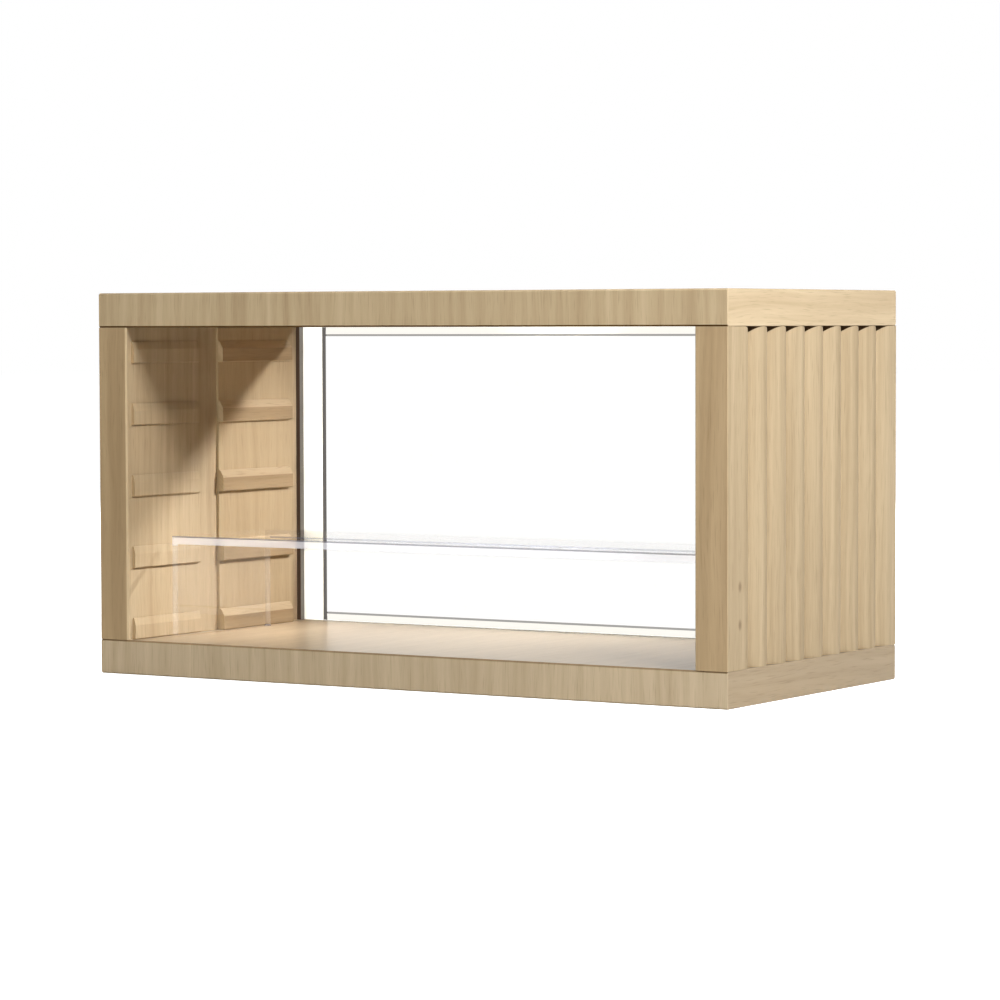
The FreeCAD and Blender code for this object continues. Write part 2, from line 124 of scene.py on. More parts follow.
# What the panel throws on the floor, and on the plate and ledges of the right side. The left side's lamp mirrors it.
FLOOR_WASH = ((-0.145, 0, 0.09), (-0.145, 0, 0), 0.03, 0.12, 0.16, "F4F8FF")
PLATE_WASH_PLACE = (-0.02, 0.02, 0.15)
PLATE_WASH_TARGET = (0.17, 0.04, 0.15)
PLATE_WASH_LAMP = (0.1, 0.06, 0.05, "FFE8D2")
# Contrast of the picture: below 1, the shade is deeper
VIEW_GAMMA = 0.85


def linear(code):
    """An sRGB hex colour as linear RGBA."""
    channels = [int(code[start:start + 2], 16) / 255 for start in (0, 2, 4)]
    return [c / 12.92 if c <= 0.04045 else ((c + 0.055) / 1.055) ** 2.4 for c in channels] + [1.0]


def add(tree, kind, settings=(), inputs=()):
    """Add a shader node, set its properties, and give each input a value or a link."""
    node = tree.nodes.new("ShaderNode" + kind)
    for name, value in dict(settings).items():
        setattr(node, name, value)
    for key, value in dict(inputs).items():
        if isinstance(value, bpy.types.NodeSocket):
            tree.links.new(value, node.inputs[key])
        else:
            node.inputs[key].default_value = value
    return node


def new_material(name):
    """A material with one Principled shader, its node tree and that shader."""
    material = bpy.data.materials.new(name)
    material.use_nodes = True
    tree = material.node_tree
    tree.nodes.clear()
    shader = add(tree, "BsdfPrincipled")
    add(tree, "OutputMaterial", inputs={"Surface": shader.outputs["BSDF"]})
    return material, tree, shader


def dress(tree, shader, colour, rough=None, height=None, depth=0.0):
    """Link a colour, a roughness and a relief of some depth in millimetres to a shader."""
    tree.links.new(colour, shader.inputs["Base Color"])
    if rough is not None:
        tree.links.new(rough, shader.inputs["Roughness"])
    if height is not None:
        bump = add(tree, "Bump", inputs={"Strength": RELIEF, "Distance": depth * MM, "Height": height})
        tree.links.new(bump.outputs["Normal"], shader.inputs["Normal"])


def streaks(tree, plane, width, length, detail, start):
    """Soft noise drawn out along the second axis of a plane, in streaks of about width by length millimetres. It
    has no end, and start says where on it the plane begins."""
    scale = (1 / (width * MM), 1 / (length * MM), 1)
    drawn = add(tree, "Mapping", inputs={"Vector": plane, "Location": (start, start, start), "Scale": scale})
    noise = add(tree, "TexNoise", inputs={"Vector": drawn.outputs["Vector"], "Scale": 1.0, "Detail": detail})
    return noise.outputs["Fac"]


def surface_plane(tree, place, along, across):
    """Object coordinates laid flat: distance across the grain, then distance along it."""
    run = add(tree, "VectorMath", {"operation": "DOT_PRODUCT"}, {0: place.outputs["Object"], 1: along})
    side = add(tree, "VectorMath", {"operation": "DOT_PRODUCT"}, {0: place.outputs["Object"], 1: across})
    flat = add(tree, "CombineXYZ", inputs={"X": side.outputs["Value"], "Y": run.outputs["Value"]})
    return flat.outputs["Vector"]


def oak_veneer(name, tones, along, across, cut, ends=None, knots=(), tints=(), gloss=0.08, satin=(0.45, 0.7),
               eaves=None):
    """Sliced oak veneer under satin lacquer. The eye sees straight fine fibres, broader growth bands that come
    and go, short dark open pores, and a soft sheen that the pores break. The grain runs along one way and is spread
    across another, and ends gives both ways for the faces that look to the left and right. Satin is the roughness
    between the pores and in them, and eaves the outer face's X and the roof's Z, below which the roof's shadow is
    painted into the ends of the grooves."""
    material, tree, shader = new_material(name)
    place = add(tree, "TexCoord")
    plane = surface_plane(tree, place, along, across)
    if ends:
        facing = add(tree, "SeparateXYZ", inputs={"Vector": place.outputs["Normal"]})
        sideways = add(tree, "Math", {"operation": "ABSOLUTE"}, {0: facing.outputs["X"]})
        is_end = add(tree, "Math", {"operation": "GREATER_THAN"}, {0: sideways.outputs["Value"], 1: NEARLY})
        end_plane = surface_plane(tree, place, *ends)
        choice = {"Factor": is_end.outputs["Value"], 4: plane, 5: end_plane}
        plane = add(tree, "Mix", {"data_type": "VECTOR"}, choice).outputs[1]

    # The grain wanders a few millimetres to the side over a hand's breadth
    drift = streaks(tree, plane, 40, 110, 2, cut)
    drift = add(tree, "Math", {"operation": "MULTIPLY_ADD"}, {0: drift, 1: 9 * MM, 2: -4.5 * MM})
    aside = add(tree, "CombineXYZ", inputs={"X": drift.outputs["Value"]})
    plane = add(tree, "VectorMath", {"operation": "ADD"}, {0: plane, 1: aside.outputs["Vector"]}).outputs["Vector"]

    tone = 0.5 - sum(share for *_, share in GRAIN) / 2
    for width, length, detail, share in GRAIN:
        layer = streaks(tree, plane, width, length, detail, cut + width)
        tone = add(tree, "Math", {"operation": "MULTIPLY_ADD"}, {0: layer, 1: share, 2: tone}).outputs["Value"]
    colour = add(tree, "Mix", {"data_type": "RGBA"}, {"Factor": tone, 6: linear(tones[0]), 7: linear(tones[1])})

    # Pores are 0.25 mm wide in oak, drawn twice as wide so that they show at this size
    pore = streaks(tree, plane, 0.5, 14, 1, cut + 2)
    pore = add(tree, "MapRange", inputs={"Value": pore, "From Min": 0.58, "From Max": 0.74, "To Max": 0.22})
    pore = pore.outputs["Result"]
    colour = add(tree, "Mix", {"data_type": "RGBA"}, {"Factor": pore, 6: colour.outputs[2], 7: linear("7C6444")})

    # A pin knot is a dark fleck 3 mm across, drawn out along the grain
    for centre in knots:
        apart = add(tree, "VectorMath", {"operation": "SUBTRACT"}, {
            0: place.outputs["Object"], 1: Vector(centre) * MM})
        shape = add(tree, "VectorMath", {"operation": "MULTIPLY"}, {0: apart.outputs["Vector"], 1: (1, 1, 0.6)})
        reach = add(tree, "VectorMath", {"operation": "LENGTH"}, {0: shape.outputs["Vector"]})
        knot = add(tree, "MapRange", {"interpolation_type": "SMOOTHSTEP"}, {
            "Value": reach.outputs["Value"], "From Min": 2.2 * MM, "From Max": 0.3 * MM, "To Max": 0.45})
        colour = add(tree, "Mix", {"data_type": "RGBA"}, {
            "Factor": knot.outputs["Result"], 6: colour.outputs[2], 7: linear("6B4E30")})

    # Faces that look one way are tinted: painted shade on the fronts, the roof's lower arris, the floor's top
    # and right end and the ledges' faces, and a darker upper front arris on the floor
    for way, limit, tint in tints:
        lean = add(tree, "VectorMath", {"operation": "DOT_PRODUCT"}, {0: place.outputs["Normal"], 1: way})
        is_there = add(tree, "Math", {"operation": "GREATER_THAN"}, {0: lean.outputs["Value"], 1: limit})
        colour = add(tree, "Mix", {"data_type": "RGBA", "blend_type": "MULTIPLY"}, {
            "Factor": is_there.outputs["Value"], 6: colour.outputs[2], 7: linear(tint)})

    # Painted shadow of the roof in the ends of the grooves right under it
    if eaves:
        outer_x, roof_z = eaves
        where = add(tree, "SeparateXYZ", inputs={"Vector": place.outputs["Object"]})
        away = add(tree, "Math", {"operation": "ABSOLUTE"}, {0: where.outputs["X"]})
        depth = add(tree, "Math", {"operation": "SUBTRACT"}, {0: outer_x, 1: away.outputs["Value"]})
        drop = add(tree, "Math", {"operation": "SUBTRACT"}, {0: where.outputs["Z"], 1: roof_z})
        reach = add(tree, "Math", {"operation": "MULTIPLY_ADD"}, {
            0: depth.outputs["Value"], 1: EAVES_SLOPE, 2: drop.outputs["Value"]})
        is_high = add(tree, "Math", {"operation": "GREATER_THAN"}, {0: reach.outputs["Value"], 1: 0.0})
        is_outer = add(tree, "Math", {"operation": "LESS_THAN"}, {0: depth.outputs["Value"], 1: EAVES_DEPTH})
        is_reed = add(tree, "Math", {"operation": "COMPARE"}, {0: where.outputs["Y"], 1: 0.0, 2: REEDS_HALF})
        painted_roof_shadow = is_high
        for part in (is_outer, is_reed):
            painted_roof_shadow = add(tree, "Math", {"operation": "MULTIPLY"}, {0: painted_roof_shadow.outputs["Value"], 1: part.outputs["Value"]})
        colour = add(tree, "Mix", {"data_type": "RGBA", "blend_type": "MULTIPLY"}, {
            "Factor": painted_roof_shadow.outputs["Value"], 6: colour.outputs[2], 7: linear("6F5F4A")})

    height = add(tree, "Math", {"operation": "SUBTRACT"}, {0: tone, 1: pore})
    rough = add(tree, "MapRange", inputs={"Value": pore, "To Min": satin[0], "To Max": satin[1]})
    dress(tree, shader, colour.outputs[2], rough.outputs["Result"], height.outputs["Value"], 0.05)
    shader.inputs["Specular IOR Level"].default_value = gloss
    return material


def beech():
    """Planed beech: pinkish straw colour with short brown ray flecks along the grain."""
    material, tree, shader = new_material("planed_beech")
    plane = surface_plane(tree, add(tree, "TexCoord"), Z_AXIS, X_AXIS + Y_AXIS)
    tone = streaks(tree, plane, 3, 60, 3, 0)
    fleck = streaks(tree, plane, 0.4, 2.5, 0, 7)
    fleck = add(tree, "MapRange", inputs={"Value": fleck, "From Min": 0.6, "From Max": 0.68, "To Max": 0.6})
    colour = add(tree, "Mix", {"data_type": "RGBA"}, {"Factor": tone, 6: linear("CDA67A"), 7: linear("E0BF98")})
    colour = add(tree, "Mix", {"data_type": "RGBA"}, {
        "Factor": fleck.outputs["Result"], 6: colour.outputs[2], 7: linear("9C7046")})
    rough = add(tree, "MapRange", inputs={"Value": tone, "To Min": 0.5, "To Max": 0.7})
    dress(tree, shader, colour.outputs[2], rough.outputs["Result"], tone, 0.05)
    return material


def white_lacquer():
    """Sprayed white lacquer on hardboard, washed with light by the strip above it: a warm even white with the
    faint ripple of a sprayed coat, 1.5 mm across."""
    material, tree, shader = new_material("white_lacquer")
    place = add(tree, "TexCoord")
    ripple = add(tree, "TexNoise", inputs={"Vector": place.outputs["Object"], "Scale": 1 / (1.5 * MM), "Detail": 2})
    ripple = ripple.outputs["Fac"]
    colour = add(tree, "Mix", {"data_type": "RGBA"}, {"Factor": ripple, 6: linear("F2F1EB"), 7: linear("F8F7F1")})
    rough = add(tree, "MapRange", inputs={"Value": ripple, "To Min": 0.3, "To Max": 0.42})
    dress(tree, shader, colour.outputs[2], rough.outputs["Result"], ripple, 0.02)
    # The wash of light is for the eye and lights nothing
    ray = add(tree, "LightPath")
    wash = add(tree, "MapRange", inputs={"Value": ray.outputs["Is Camera Ray"], "To Max": BOARD_WASH})
    tree.links.new(wash.outputs["Result"], shader.inputs["Emission Strength"])
    shader.inputs["Emission Color"].default_value = linear("FFFDF2")
    return material


def opal_acrylic():
    """Opal acrylic lit along its edges. The flat face glows white and the bevels above and below it cream. The walls
    of the two grooves glow grey and the ends a darker grey, painted shade given as a dim glow."""
    material, tree, shader = new_material("opal_acrylic")
    place = add(tree, "TexCoord")
    facing = add(tree, "SeparateXYZ", inputs={"Vector": place.outputs["Normal"]})
    where = add(tree, "SeparateXYZ", inputs={"Vector": place.outputs["Object"]})
    speck = add(tree, "TexNoise", inputs={"Vector": place.outputs["Object"], "Scale": 1 / (3 * MM)})
    colour = add(tree, "Mix", {"data_type": "RGBA"}, {
        "Factor": speck.outputs["Fac"], 6: linear("191919"), 7: linear("1F1F1E")})
    low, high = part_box("light_panel")
    away = add(tree, "Math", {"operation": "ABSOLUTE"}, {0: where.outputs["X"]})
    # The grey ends narrow towards the corners, where the bevels meet in mitres
    middle = (low.z + high.z) / 2
    half = (high.z - low.z) / 2
    aside = add(tree, "Math", {"operation": "SUBTRACT"}, {0: where.outputs["Z"], 1: middle})
    aside = add(tree, "Math", {"operation": "ABSOLUTE"}, {0: aside.outputs["Value"]})
    inner = add(tree, "MapRange", inputs={
        "Value": aside.outputs["Value"], "From Min": half - PANEL_BEVEL, "From Max": half,
        "To Min": high.x - PANEL_END, "To Max": high.x - PANEL_CORNER})
    is_inner = add(tree, "Math", {"operation": "LESS_THAN"}, {
        0: away.outputs["Value"], 1: inner.outputs["Result"]})
    is_front = add(tree, "Math", {"operation": "LESS_THAN"}, {0: facing.outputs["Y"], 1: -0.7})
    is_white = add(tree, "Math", {"operation": "MULTIPLY"}, {
        0: is_inner.outputs["Value"], 1: is_front.outputs["Value"]})
    # Painted shade as a dim glow: grey on the groove walls and darker grey on the ends
    glow = add(tree, "Mix", {"data_type": "RGBA"}, {
        "Factor": is_inner.outputs["Value"], 6: linear("74716E"), 7: linear("AEACA9")})
    is_bevel = add(tree, "Math", {"operation": "GREATER_THAN"}, {
        0: aside.outputs["Value"], 1: half - PANEL_BEVEL})
    white = add(tree, "Mix", {"data_type": "RGBA"}, {
        "Factor": is_bevel.outputs["Value"], 6: linear("FFFFFE"), 7: linear("FEFCF5")})
    glow = add(tree, "Mix", {"data_type": "RGBA"}, {
        "Factor": is_white.outputs["Value"], 6: glow.outputs[2], 7: white.outputs[2]})
    # The panel is white to the eye and in mirrors, and only a weak lamp for the case
    ray = add(tree, "LightPath")
    seen = add(tree, "Math", {"operation": "MAXIMUM"}, {
        0: ray.outputs["Is Camera Ray"], 1: ray.outputs["Is Glossy Ray"]})
    strength = add(tree, "MapRange", inputs={"Value": seen.outputs["Value"], "To Min": PANEL_LAMP, "To Max": 1.0})
    dress(tree, shader, colour.outputs[2])
    tree.links.new(glow.outputs[2], shader.inputs["Emission Color"])
    tree.links.new(strength.outputs["Result"], shader.inputs["Emission Strength"])
    shader.inputs["Roughness"].default_value = 0.5
    shader.inputs["Specular IOR Level"].default_value = 0.1
    return material


def clear_acrylic():
    """Thin cast acrylic sheet. It mirrors more the flatter it is looked at, has faint wipe marks 18 mm apart, satin
    cut edges, milky along the front of the deck with a painted glow there, and painted shade as a thin grey line
    along its front rim."""
    material, tree, shader = new_material("clear_acrylic")
    place = add(tree, "TexCoord")
    facing = add(tree, "SeparateXYZ", inputs={"Vector": place.outputs["Normal"]})
    # Light leaves the sheet as it came in, so both faces mirror alike
    behind = add(tree, "NewGeometry").outputs["Backfacing"]
    index = add(tree, "MapRange", inputs={"Value": behind, "To Min": ACRYLIC_INDEX, "To Max": 1 / ACRYLIC_INDEX})
    mirror = add(tree, "Fresnel", inputs={"IOR": index.outputs["Result"]})
    # Lamps shine straight through, and to the eye half of the mirror image is lost in the wipe marks
    ray = add(tree, "LightPath")
    share = add(tree, "MapRange", inputs={
        "Value": ray.outputs["Is Shadow Ray"], "To Min": ACRYLIC_MIRROR, "To Max": 0.0})
    mirror = add(tree, "Math", {"operation": "MULTIPLY"}, {0: mirror.outputs["Fac"], 1: share.outputs["Result"]})
    wipe = add(tree, "TexNoise", inputs={"Vector": place.outputs["Object"], "Scale": 1 / (18 * MM), "Detail": 4})
    polish = add(tree, "MapRange", inputs={"Value": wipe.outputs["Fac"], "To Min": 0.0, "To Max": 0.02})
    passing = add(tree, "BsdfTransparent", inputs={"Color": linear("FEFEFE")})
    shine = add(tree, "BsdfAnisotropic", inputs={"Roughness": polish.outputs["Result"], "Color": linear("FFFFFF")})
    sheet = add(tree, "MixShader", inputs={
        "Fac": mirror.outputs["Value"], 1: passing.outputs["BSDF"], 2: shine.outputs["BSDF"]})

    along = add(tree, "Math", {"operation": "ABSOLUTE"}, {0: facing.outputs["Y"]})
    is_cut = add(tree, "Math", {"operation": "GREATER_THAN"}, {0: along.outputs["Value"], 1: CLOSELY})
    upward = add(tree, "VectorMath", {"operation": "DOT_PRODUCT"}, {
        0: place.outputs["Normal"], 1: FRONT_TOP})
    is_rim = add(tree, "Math", {"operation": "GREATER_THAN"}, {0: upward.outputs["Value"], 1: CLOSELY})
    haze = add(tree, "MapRange", inputs={"Value": is_cut.outputs["Value"], "To Max": CUT_HAZE})
    # The front edge of the deck is milkier than the other cuts, and has a painted glow for the panel's light
    where = add(tree, "SeparateXYZ", inputs={"Vector": place.outputs["Object"]})
    low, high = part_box("clear_riser")
    is_deck = add(tree, "Math", {"operation": "GREATER_THAN"}, {0: where.outputs["Z"], 1: high.z - DECK_SHEET})
    is_front = add(tree, "Math", {"operation": "LESS_THAN"}, {0: where.outputs["Y"], 1: low.y + 0.1 * MM})
    is_lip = add(tree, "Math", {"operation": "MULTIPLY"}, {
        0: is_deck.outputs["Value"], 1: is_front.outputs["Value"]})
    haze = add(tree, "MapRange", inputs={
        "Value": is_lip.outputs["Value"], "To Min": haze.outputs["Result"], "To Max": LIP_HAZE})
    gather = add(tree, "MapRange", inputs={"Value": is_lip.outputs["Value"], "To Max": LIP_GLOW})
    tree.links.new(gather.outputs["Result"], shader.inputs["Emission Strength"])
    shader.inputs["Emission Color"].default_value = linear("FFF4F0")
    haze = add(tree, "MapRange", inputs={
        "Value": is_rim.outputs["Value"], "To Min": haze.outputs["Result"], "To Max": RIM_HAZE})
    # Painted shade: the front rim is a thin grey line
    colour = add(tree, "Mix", {"data_type": "RGBA"}, {
        "Factor": is_rim.outputs["Value"], 6: linear("F4EEF1"), 7: linear("8B8790")})
    dress(tree, shader, colour.outputs[2])
    shader.inputs["Roughness"].default_value = 0.4
    both = add(tree, "MixShader", inputs={
        "Fac": haze.outputs["Result"], 1: sheet.outputs["Shader"], 2: shader.outputs["BSDF"]})
    tree.links.new(both.outputs["Shader"], tree.nodes["Material Output"].inputs["Surface"])
    return material


def sealing_foam():
    """Closed-cell foam strip: dull, with round cells 0.5 mm across, grey, with its front painted the dark brown of
    shade. A painted glow lightens it all."""
    material, tree, shader = new_material("sealing_foam")
    place = add(tree, "TexCoord")
    cells = add(tree, "TexVoronoi", inputs={"Vector": place.outputs["Object"], "Scale": 1 / (0.5 * MM)})
    cells = cells.outputs["Distance"]
    facing = add(tree, "SeparateXYZ", inputs={"Vector": place.outputs["Normal"]})
    is_front = add(tree, "Math", {"operation": "LESS_THAN"}, {0: facing.outputs["Y"], 1: -0.5})
    pale = add(tree, "Mix", {"data_type": "RGBA"}, {"Factor": cells, 6: linear("7B766F"), 7: linear("88837C")})
    # Painted shade: the front is a dark brown
    colour = add(tree, "Mix", {"data_type": "RGBA"}, {
        "Factor": is_front.outputs["Value"], 6: pale.outputs[2], 7: linear("4C3D31")})
    dress(tree, shader, colour.outputs[2], None, cells, 0.15)
    # The painted glow is for the eye and lights nothing
    ray = add(tree, "LightPath")
    foam_glow = add(tree, "MapRange", inputs={"Value": ray.outputs["Is Camera Ray"], "To Max": FOAM_PAINTED_GLOW})
    tree.links.new(colour.outputs[2], shader.inputs["Emission Color"])
    tree.links.new(foam_glow.outputs["Result"], shader.inputs["Emission Strength"])
    shader.inputs["Roughness"].default_value = 0.9
    return material


def extruded_aluminium():
    """Bare extruded aluminium: pale grey metal with die lines along its length, 0.3 mm apart."""
    material, tree, shader = new_material("extruded_aluminium")
    plane = surface_plane(tree, add(tree, "TexCoord"), X_AXIS, Y_AXIS + Z_AXIS)
    lines = streaks(tree, plane, 0.3, 80, 2, 0)
    colour = add(tree, "Mix", {"data_type": "RGBA"}, {"Factor": lines, 6: linear("BFC1C3"), 7: linear("DADCDD")})
    rough = add(tree, "MapRange", inputs={"Value": lines, "To Min": 0.28, "To Max": 0.45})
    dress(tree, shader, colour.outputs[2], rough.outputs["Result"], lines, 0.02)
    shader.inputs["Metallic"].default_value = 1.0
    return material


def chip_distance(tree, place):
    """Distance along X to the nearest lamp of the light strip."""
    low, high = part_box("led_chips")
    first = (low.x + high.x) / 2 + CHIP_PITCH / 2
    apart = add(tree, "Math", {"operation": "SUBTRACT"}, {0: place.outputs["X"], 1: first})
    apart = add(tree, "Math", {"operation": "PINGPONG"}, {0: apart.outputs["Value"], 1: CHIP_PITCH / 2})
    return apart.outputs["Value"]


def strip_film():
    """White solder mask on a flexible strip, with bare copper pads half way between its lamps: two rows of pads
    1.2 mm wide, 1.2 mm to either side of the middle."""
    material, tree, shader = new_material("strip_film")
    where = add(tree, "TexCoord")
    place = add(tree, "SeparateXYZ", inputs={"Vector": where.outputs["Object"]})
    near_cut = add(tree, "Math", {"operation": "GREATER_THAN"}, {
        0: chip_distance(tree, place), 1: CHIP_PITCH / 2 - 1.2 * MM})
    low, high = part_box("led_strip")
    aside = add(tree, "Math", {"operation": "SUBTRACT"}, {0: place.outputs["Y"], 1: (low.y + high.y) / 2})
    aside = add(tree, "Math", {"operation": "ABSOLUTE"}, {0: aside.outputs["Value"]})
    in_row = add(tree, "Math", {"operation": "COMPARE"}, {0: aside.outputs["Value"], 1: 1.2 * MM, 2: 0.6 * MM})
    pad = add(tree, "Math", {"operation": "MULTIPLY"}, {0: near_cut.outputs["Value"], 1: in_row.outputs["Value"]})
    pad = pad.outputs["Value"]
    speck = add(tree, "TexNoise", inputs={"Vector": where.outputs["Object"], "Scale": 1 / (0.8 * MM)})
    mask = add(tree, "Mix", {"data_type": "RGBA"}, {
        "Factor": speck.outputs["Fac"], 6: linear("ECEAE0"), 7: linear("F6F4EB")})
    colour = add(tree, "Mix", {"data_type": "RGBA"}, {"Factor": pad, 6: mask.outputs[2], 7: linear("C98A5A")})
    rough = add(tree, "MapRange", inputs={"Value": pad, "To Min": 0.5, "To Max": 0.3})
    dress(tree, shader, colour.outputs[2], rough.outputs["Result"])
    tree.links.new(pad, shader.inputs["Metallic"])
    return material


def lamp_chip():
    """Surface-mounted lamp: a matt white body with a glowing yellow phosphor window below, 2.6 by 2 mm."""
    material, tree, shader = new_material("lamp_chip")
    where = add(tree, "TexCoord")
    place = add(tree, "SeparateXYZ", inputs={"Vector": where.outputs["Object"]})
    facing = add(tree, "SeparateXYZ", inputs={"Vector": where.outputs["Normal"]})
    low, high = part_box("led_chips")
    in_width = add(tree, "Math", {"operation": "LESS_THAN"}, {0: chip_distance(tree, place), 1: 1.3 * MM})
    in_depth = add(tree, "Math", {"operation": "COMPARE"}, {
        0: place.outputs["Y"], 1: (low.y + high.y) / 2, 2: 1.0 * MM})
    below = add(tree, "Math", {"operation": "LESS_THAN"}, {0: facing.outputs["Z"], 1: -0.5})
    window = below
    for part in (in_width, in_depth):
        window = add(tree, "Math", {"operation": "MULTIPLY"}, {0: window.outputs["Value"], 1: part.outputs["Value"]})
    grit = add(tree, "TexNoise", inputs={"Vector": where.outputs["Object"], "Scale": 1 / (0.3 * MM)})
    body = add(tree, "Mix", {"data_type": "RGBA"}, {
        "Factor": grit.outputs["Fac"], 6: linear("EFEEE9"), 7: linear("F8F7F3")})
    colour = add(tree, "Mix", {"data_type": "RGBA"}, {
        "Factor": window.outputs["Value"], 6: body.outputs[2], 7: linear("F5DE8E")})
    glow = add(tree, "MapRange", inputs={"Value": window.outputs["Value"], "To Max": CHIP_GLOW})
    dress(tree, shader, colour.outputs[2])
    tree.links.new(glow.outputs["Result"], shader.inputs["Emission Strength"])
    shader.inputs["Emission Color"].default_value = linear("FFF3D6")
    shader.inputs["Roughness"].default_value = 0.4
    return material


def moulded_nylon():
    """White moulded nylon with the fine pebble of a spark-eroded mould, 0.3 mm across."""
    material, tree, shader = new_material("moulded_nylon")
    place = add(tree, "TexCoord")
    pebble = add(tree, "TexNoise", inputs={"Vector": place.outputs["Object"], "Scale": 1 / (0.3 * MM), "Detail": 2})
    pebble = pebble.outputs["Fac"]
    colour = add(tree, "Mix", {"data_type": "RGBA"}, {"Factor": pebble, 6: linear("E6E5DF"), 7: linear("F2F1EC")})
    rough = add(tree, "MapRange", inputs={"Value": pebble, "To Min": 0.4, "To Max": 0.55})
    dress(tree, shader, colour.outputs[2], rough.outputs["Result"], pebble, 0.03)
    return material


def lead_sheath():
    """Flat two-core lead in soft white vinyl, with a furrow between the cores and a grey line on one of them."""
    material, tree, shader = new_material("lead_sheath")
    where = add(tree, "TexCoord")
    place = add(tree, "SeparateXYZ", inputs={"Vector": where.outputs["Object"]})
    low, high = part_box("led_lead")
    middle = (low.x + high.x) / 2
    aside = add(tree, "Math", {"operation": "SUBTRACT"}, {0: place.outputs["X"], 1: middle})
    away = add(tree, "Math", {"operation": "ABSOLUTE"}, {0: aside.outputs["Value"]})
    furrow = add(tree, "MapRange", {"interpolation_type": "SMOOTHSTEP"}, {
        "Value": away.outputs["Value"], "From Max": 0.4 * MM})
    line = add(tree, "Math", {"operation": "COMPARE"}, {0: aside.outputs["Value"], 1: 0.8 * MM, 2: 0.2 * MM})
    smear = add(tree, "TexNoise", inputs={"Vector": where.outputs["Object"], "Scale": 1 / (2 * MM)})
    vinyl = add(tree, "Mix", {"data_type": "RGBA"}, {
        "Factor": smear.outputs["Fac"], 6: linear("E2E1DC"), 7: linear("EEEDE9")})
    colour = add(tree, "Mix", {"data_type": "RGBA"}, {
        "Factor": line.outputs["Value"], 6: vinyl.outputs[2], 7: linear("8D8D8B")})
    rough = add(tree, "MapRange", inputs={"Value": smear.outputs["Fac"], "To Min": 0.4, "To Max": 0.55})
    dress(tree, shader, colour.outputs[2], rough.outputs["Result"], furrow.outputs["Result"], 0.3)
    return material


def solder_mask():
    """Green solder mask over copper: paler raised tracks 0.4 mm wide, every 2.4 mm."""
    material, tree, shader = new_material("solder_mask")
    plane = surface_plane(tree, add(tree, "TexCoord"), Z_AXIS, X_AXIS)
    tracks = add(tree, "TexBrick", {"offset": 0.35}, {
        "Vector": plane, "Color1": linear("14532D"), "Color2": linear("175A32"), "Mortar": linear("2B7B4A"),
        "Scale": 1 / (10 * MM), "Mortar Size": 0.02, "Brick Width": 0.9, "Row Height": 0.24})
    rough = add(tree, "MapRange", inputs={"Value": tracks.outputs["Fac"], "To Min": 0.3, "To Max": 0.4})
    dress(tree, shader, tracks.outputs["Color"], rough.outputs["Result"], tracks.outputs["Fac"], 0.04)
    return material


def black_resin():
    """Moulded black resin: nearly black, with a fine matt grain of glass filler, 0.4 mm across."""
    material, tree, shader = new_material("black_resin")
    place = add(tree, "TexCoord")
    filler = add(tree, "TexNoise", inputs={"Vector": place.outputs["Object"], "Scale": 1 / (0.4 * MM), "Detail": 3})
    filler = filler.outputs["Fac"]
    colour = add(tree, "Mix", {"data_type": "RGBA"}, {"Factor": filler, 6: linear("111111"), 7: linear("212121")})
    rough = add(tree, "MapRange", inputs={"Value": filler, "To Min": 0.4, "To Max": 0.6})
    dress(tree, shader, colour.outputs[2], rough.outputs["Result"], filler, 0.02)
    return material


def zinc_plate():
    """Bright zinc plate on steel: silver with faint blue and straw clouds, 2.5 mm across."""
    material, tree, shader = new_material("zinc_plate")
    place = add(tree, "TexCoord")
    cloud = add(tree, "TexNoise", inputs={"Vector": place.outputs["Object"], "Scale": 1 / (2.5 * MM), "Detail": 3})
    cloud = cloud.outputs["Fac"]
    colour = add(tree, "Mix", {"data_type": "RGBA"}, {"Factor": cloud, 6: linear("B9BEC6"), 7: linear("CFCABB")})
    rough = add(tree, "MapRange", inputs={"Value": cloud, "To Min": 0.25, "To Max": 0.4})
    dress(tree, shader, colour.outputs[2], rough.outputs["Result"], cloud, 0.01)
    shader.inputs["Metallic"].default_value = 1.0
    return material


def nickel_plate():
    """Nickel plate on drawn steel: warm silver with draw lines from the press, 0.3 mm apart."""
    material, tree, shader = new_material("nickel_plate")
    plane = surface_plane(tree, add(tree, "TexCoord"), Y_AXIS, X_AXIS + Z_AXIS)
    lines = streaks(tree, plane, 0.3, 12, 2, 0)
    colour = add(tree, "Mix", {"data_type": "RGBA"}, {"Factor": lines, 6: linear("B4B1AA"), 7: linear("CCC9C1")})
    rough = add(tree, "MapRange", inputs={"Value": lines, "To Min": 0.2, "To Max": 0.35})
    dress(tree, shader, colour.outputs[2], rough.outputs["Result"], lines, 0.01)
    shader.inputs["Metallic"].default_value = 1.0
    return material


def set_material(node, material):
    """Give a node one material all over."""
    data = nodes[node].data
    data.materials.clear()
    data.materials.append(material)


# The finish of each of the record's material slots, apart from the veneers
finishes = {
    "beech": beech(),
    "white_board": white_lacquer(),
    "opal_acrylic": opal_acrylic(),
    "clear_acrylic": clear_acrylic(),
    "black_foam": sealing_foam(),
    "bare_aluminium": extruded_aluminium(),
    "strip_film": strip_film(),
    "led_lens": lamp_chip(),
    "white_nylon": moulded_nylon(),
    "lead_sheath": lead_sheath(),
    "circuit_board": solder_mask(),
    "black_resin": black_resin(),
    "zinc_steel": zinc_plate(),
    "inlet_steel": nickel_plate(),
}
for row in frame["record"]["subparts"]:
    if row["material_slot"] in finishes:
        set_material(row["node"], finishes[row["material_slot"]])

